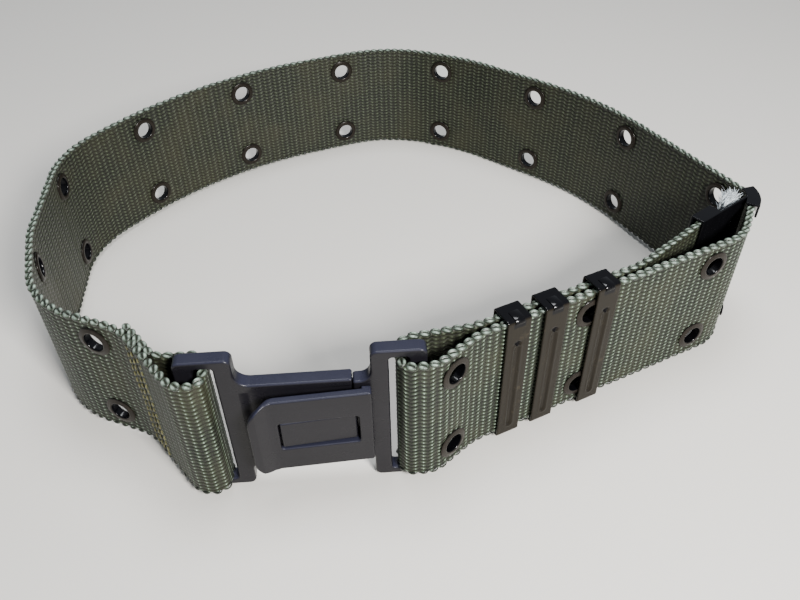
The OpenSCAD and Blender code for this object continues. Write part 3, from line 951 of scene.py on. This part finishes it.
def build_keeper_tab(name, middle, along, across, depth, height):
    """The folded end that passes over the keeper's top and down its front."""
    top, front = height / 2, -depth / 2
    spine = np.array([(front + 5.0, top - 0.02), (front + 4.6, top + 0.12), (front + 1.3, top + TAB_ROOM),
                      (front + 0.35, top - 0.10), (front - 0.14, top - 0.75), (front - 0.16, top - 1.3),
                      (front + 0.02, top - 1.8)])
    tangent = np.gradient(spine, axis=0)
    tangent /= np.linalg.norm(tangent, axis=1)[:, None]
    normal = np.stack([tangent[:, 1], -tangent[:, 0]], -1)
    flat_half_w = TAB_HALF_W - TAB_EDGE
    section = [(-TAB_HALF_W, 0.08), (-flat_half_w, 0.18), (flat_half_w, 0.18), (TAB_HALF_W, 0.08),
               (TAB_HALF_W, -TAB_T), (-TAB_HALF_W, -TAB_T)]
    points = []
    for p, n in zip(spine, normal):
        for w, up in section:
            q = p + n * up
            points.append(middle + w * along + q[0] * across + q[1] * np.array([0, 0, 1]))
    tab = add_mesh(name + "_tab", points, capped_tube_faces(len(spine), len(section)), [KEEPER_METAL])
    face_outward(tab)
    # Painted shade: the whole tab takes the near-black colour.
    add_value(tab, "painted_shade", np.ones(len(tab.data.vertices)))
    sharpen(tab, 50)
    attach(tab, name)


def build_keepers():
    for number in (1, 2, 3):
        name = f"keeper_{number}"
        along = joint_axis(name + "_slide")
        across = np.array([-along[1], along[0], 0])
        build_keeper(name, along, across)


# ---------------------------------------------------------------- frayed tail end

FRAY_COUNT = 520
FRAY_RINGS = 6
FRAY_SIDES = 4
FRAY_START = 7.0
FRAY_SPREAD = 7.0
FRAY_DEEP = 8
FRAY_ABOVE = 2.0


def build_frayed_end():
    """A tuft of pale nylon fibres where the tail's end was cut, between the clip's two flanges."""
    (end,), (heading,) = strap.at(np.array([0.0]))
    ahead = -np.append(heading, 0)
    inward = np.append(outward(heading), 0)
    up = np.array([0, 0, 1])
    angle = np.linspace(0, 2 * math.pi, FRAY_SIDES, endpoint=False)
    t = np.linspace(0, 1, FRAY_RINGS)
    points, faces = [], []
    tube = capped_tube_faces(FRAY_RINGS, FRAY_SIDES)
    for _ in range(FRAY_COUNT):
        root = np.append(end, web_high - random.uniform(0, FRAY_DEEP))
        root += ahead * (FRAY_START + random.uniform(0, FRAY_SPREAD)) + inward * random.uniform(-0.6, 1.8)
        lift = random.uniform(0.1, 1.3)
        way = ahead * math.cos(lift) + up * math.sin(lift) + inward * random.normal(0.15, 0.2)
        reach = random.uniform(3.0, 6.5)
        curl = random.normal(0, 1.1, 3)
        spine = root + (t * reach)[:, None] * way + (t**2)[:, None] * curl
        spine[:, 2] = np.minimum(spine[:, 2], web_high + FRAY_ABOVE)
        ring = np.cos(angle)[:, None] * inward + np.sin(angle)[:, None] * np.cross(way, inward)
        thin = random.uniform(0.14, 0.26) * (1 - 0.5 * t)
        faces += [[v + len(points) * FRAY_RINGS * FRAY_SIDES for v in f] for f in tube]
        points.append((spine[:, None, :] + thin[:, None, None] * ring[None]).reshape(-1, 3))
    tuft = add_mesh("frayed_tail_end", np.concatenate(points), faces, [FRAYED])
    face_outward(tuft)
    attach(tuft, "root")


# ---------------------------------------------------------------- floor, light and camera

FLOOR_HALF = 3000.0
CAMERA_PLACE = (-13.45, -287.9, 238.25)
CAMERA_TURN = 3.386
CAMERA_PITCH = 41.488
CAMERA_ROLL = 1.153
CAMERA_LENS = 34.35
CAMERA_SENSOR = 36.0


def build_stage():
    """A pale floor that the buckle and the webbing's lower edge both stand on, and soft light."""
    buckle_low = node_box("right_buckle_half")[0]
    back = node_box("belt_webbing")[1]
    slope = (web_low - buckle_low[2]) / (back[1] - buckle_low[1])
    square = ((-1, -1), (1, -1), (1, 1), (-1, 1))
    corners = [(x * FLOOR_HALF, y * FLOOR_HALF, buckle_low[2] + slope * (y * FLOOR_HALF - buckle_low[1]))
               for x, y in square]
    m = Nodes("pale_floor")
    m.shader.inputs["Base Color"].default_value = (0.72, 0.70, 0.66, 1)
    m.set(Roughness=0.7)
    floor = add_mesh("floor", corners, [(0, 1, 2, 3)], [m.material], smooth=False)

    world = bpy.data.worlds.new("soft_light")
    world.use_nodes = True
    world.node_tree.nodes["Background"].inputs["Color"].default_value = (0.80, 0.86, 0.95, 1)
    world.node_tree.nodes["Background"].inputs["Strength"].default_value = 0.28
    bpy.context.scene.world = world
    add_light("front_light", (230, -530, 430), 9.5, 150, (1.0, 0.98, 0.95))
    add_light("ceiling_light", (0, 150, 1100), 9.0, 500, (0.96, 0.98, 1.0))


def add_light(name, place, power, size, colour):
    light = bpy.data.lights.new(name, "AREA")
    light.energy = power
    light.size = size * MM
    light.color = colour
    lamp = bpy.data.objects.new(name, light)
    lamp.location = Vector(place) * MM
    lamp.rotation_euler = (-lamp.location).to_track_quat("-Z", "Y").to_euler()
    bpy.context.scene.collection.objects.link(lamp)


def build_camera():
    """The camera stands in front of the buckle, turned a little to the ring's axis and looking down."""
    turn, pitch, roll = (math.radians(a) for a in (CAMERA_TURN, CAMERA_PITCH, CAMERA_ROLL))
    right = Vector((math.cos(turn), -math.sin(turn), 0))
    ahead = Vector((math.cos(pitch) * math.sin(turn), math.cos(pitch) * math.cos(turn), -math.sin(pitch)))
    down = ahead.cross(right)
    x = math.cos(roll) * right + math.sin(roll) * down
    y = math.sin(roll) * right - math.cos(roll) * down
    data = bpy.data.cameras.new("camera")
    data.sensor_width = CAMERA_SENSOR
    data.lens = CAMERA_LENS
    data.clip_start, data.clip_end = 0.01, 20.0
    camera = bpy.data.objects.new("camera", data)
    rotation = Matrix((x, y, -ahead)).transposed().to_4x4()
    camera.matrix_world = Matrix.Translation(Vector(CAMERA_PLACE) * MM) @ rotation
    bpy.context.scene.collection.objects.link(camera)
    bpy.context.scene.camera = camera


build_strap()
build_eyelets()
build_stitching()
build_buckle()
build_keepers()
build_clip()
build_frayed_end()
build_stage()
build_camera()
